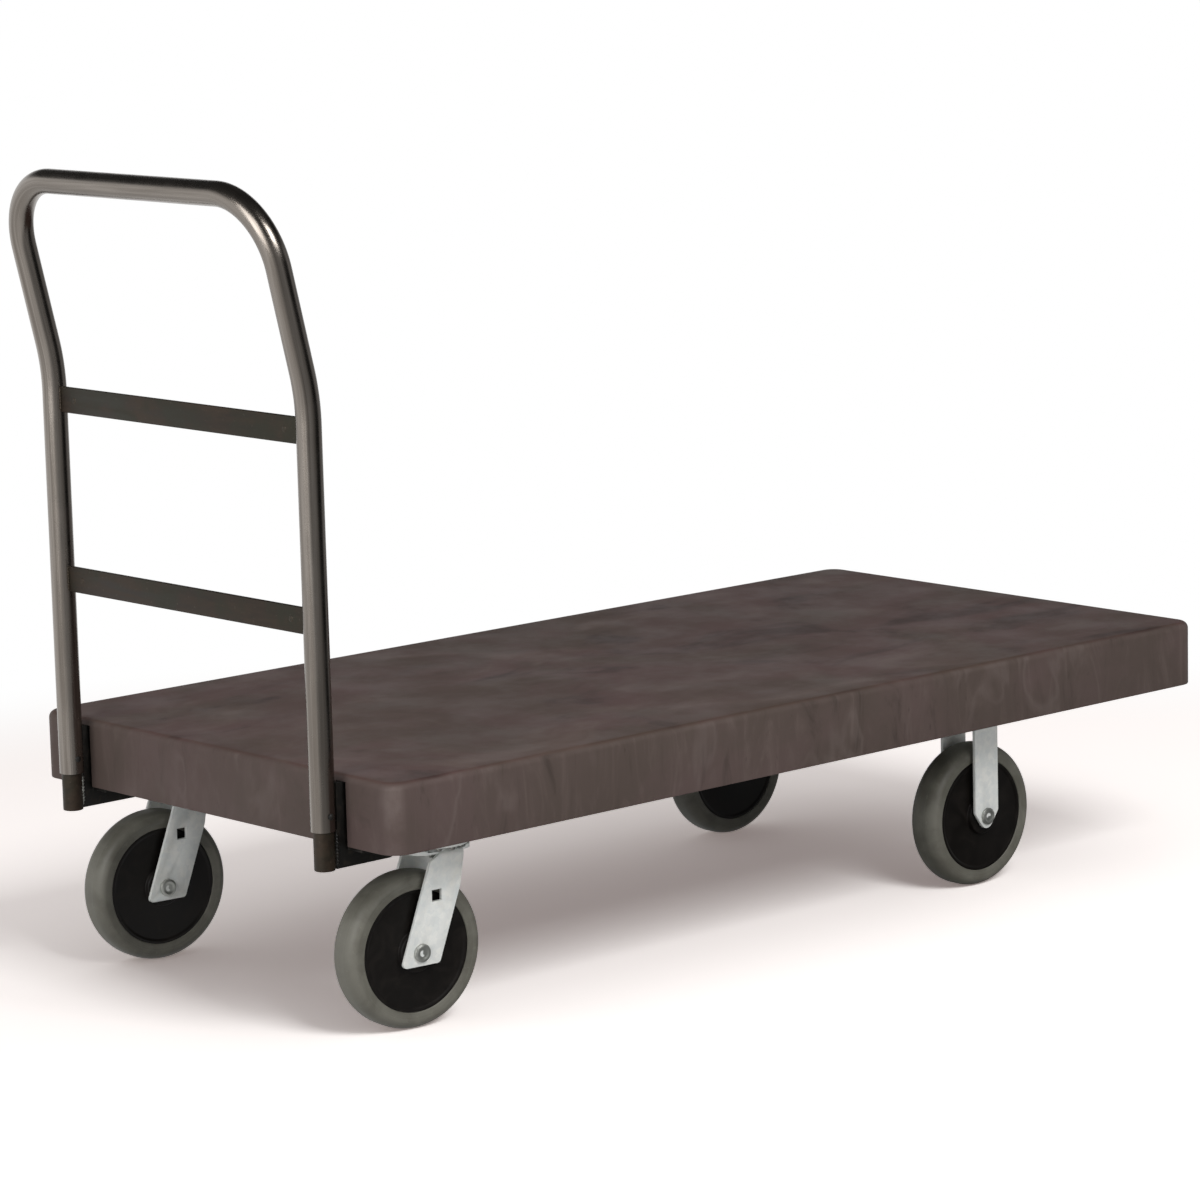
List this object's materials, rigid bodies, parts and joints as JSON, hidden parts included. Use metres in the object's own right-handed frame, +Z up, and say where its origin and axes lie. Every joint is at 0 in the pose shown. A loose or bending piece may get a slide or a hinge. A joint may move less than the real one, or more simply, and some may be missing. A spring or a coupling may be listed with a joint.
{
  "type": "platform cart",
  "caption": "Flat platform cart with a moulded deck, an upright tube handle with two cross bars at one end, two swivel casters under the handle and two rigid casters in front.",
  "frame": {"origin": "on the floor under the middle of the whole cart's box, handle included", "axes": "+X to the front end, away from the handle; +Y to the left as the pusher sees it; +Z up"},
  "size_m": [1.6004, 0.74, 1.082],
  "materials": {
    "deck_foam": "moulded structural foam, warm grey-brown, with swirls and a fine grain",
    "handle_steel": "polished steel tube with a clear coat",
    "bar_steel": "dark olive-brown painted steel",
    "bracket_black": "black painted steel",
    "zinc": "bright zinc plating",
    "tyre_grey": "smooth grey non-marking rubber",
    "core_black": "black moulded plastic",
    "bearing_steel": "bare machined steel"
  },
  "bodies": {
    "root": {"deck": "deck_foam", "handle_tube": "handle_steel", "handle_bar_upper": "bar_steel", "handle_bar_lower": "bar_steel", "handle_bracket_right": "bracket_black", "handle_post_right": "bar_steel", "handle_screw_right": "bracket_black", "bracket_bolt_right_outer": "zinc", "bracket_bolt_right_inner": "zinc", "caster_bolts_rear_right": "zinc", "caster_bolts_front_right": "zinc", "swivel_right_plate": "zinc", "swivel_right_race": "zinc", "swivel_right_kingpin": "zinc", "swivel_right_kingpin_nut": "zinc", "rigid_right_fork": "zinc", "rigid_right_axle": "zinc", "rigid_right_axle_nut": "zinc", "rigid_right_sleeve": "bearing_steel", "handle_bracket_left": "bracket_black", "handle_post_left": "bar_steel", "handle_screw_left": "bracket_black", "bracket_bolt_left_outer": "zinc", "bracket_bolt_left_inner": "zinc", "caster_bolts_rear_left": "zinc", "caster_bolts_front_left": "zinc", "swivel_left_plate": "zinc", "swivel_left_race": "zinc", "swivel_left_kingpin": "zinc", "swivel_left_kingpin_nut": "zinc", "rigid_left_fork": "zinc", "rigid_left_axle": "zinc", "rigid_left_axle_nut": "zinc", "rigid_left_sleeve": "bearing_steel"},
    "swivel_right": {"swivel_right_fork": "zinc", "swivel_right_axle": "zinc", "swivel_right_axle_nut": "zinc", "swivel_right_sleeve": "bearing_steel", "swivel_right_ball_ring": "bearing_steel"},
    "swivel_right_wheel": {"swivel_right_tyre": "tyre_grey", "swivel_right_core": "core_black", "swivel_right_bearing": "bearing_steel"},
    "rigid_right_wheel": {"rigid_right_tyre": "tyre_grey", "rigid_right_core": "core_black", "rigid_right_bearing": "bearing_steel"},
    "swivel_left": {"swivel_left_fork": "zinc", "swivel_left_axle": "zinc", "swivel_left_axle_nut": "zinc", "swivel_left_sleeve": "bearing_steel", "swivel_left_ball_ring": "bearing_steel"},
    "swivel_left_wheel": {"swivel_left_tyre": "tyre_grey", "swivel_left_core": "core_black", "swivel_left_bearing": "bearing_steel"},
    "rigid_left_wheel": {"rigid_left_tyre": "tyre_grey", "rigid_left_core": "core_black", "rigid_left_bearing": "bearing_steel"}
  },
  "joints": [
    {"name": "swivel_right_turn", "type": "hinge", "parent": "root", "child": "swivel_right", "pos_m": [-0.5496, -0.266, 0.2305], "axis": [0, 0, 1], "continuous": true},
    {"name": "swivel_right_wheel_spin", "type": "hinge", "parent": "swivel_right", "child": "swivel_right_wheel", "pos_m": [-0.59642, -0.2619, 0.1016], "axis": [0.0872, 0.9962, 0], "continuous": true},
    {"name": "rigid_right_wheel_spin", "type": "hinge", "parent": "root", "child": "rigid_right_wheel", "pos_m": [0.4484, -0.252, 0.1016], "axis": [0, 1, 0], "continuous": true},
    {"name": "swivel_left_turn", "type": "hinge", "parent": "root", "child": "swivel_left", "pos_m": [-0.5496, 0.266, 0.2305], "axis": [0, 0, 1], "continuous": true},
    {"name": "swivel_left_wheel_spin", "type": "hinge", "parent": "swivel_left", "child": "swivel_left_wheel", "pos_m": [-0.59642, 0.2701, 0.1016], "axis": [0.0872, 0.9962, 0], "continuous": true},
    {"name": "rigid_left_wheel_spin", "type": "hinge", "parent": "root", "child": "rigid_left_wheel", "pos_m": [0.4484, 0.252, 0.1016], "axis": [0, 1, 0], "continuous": true}
  ]
}
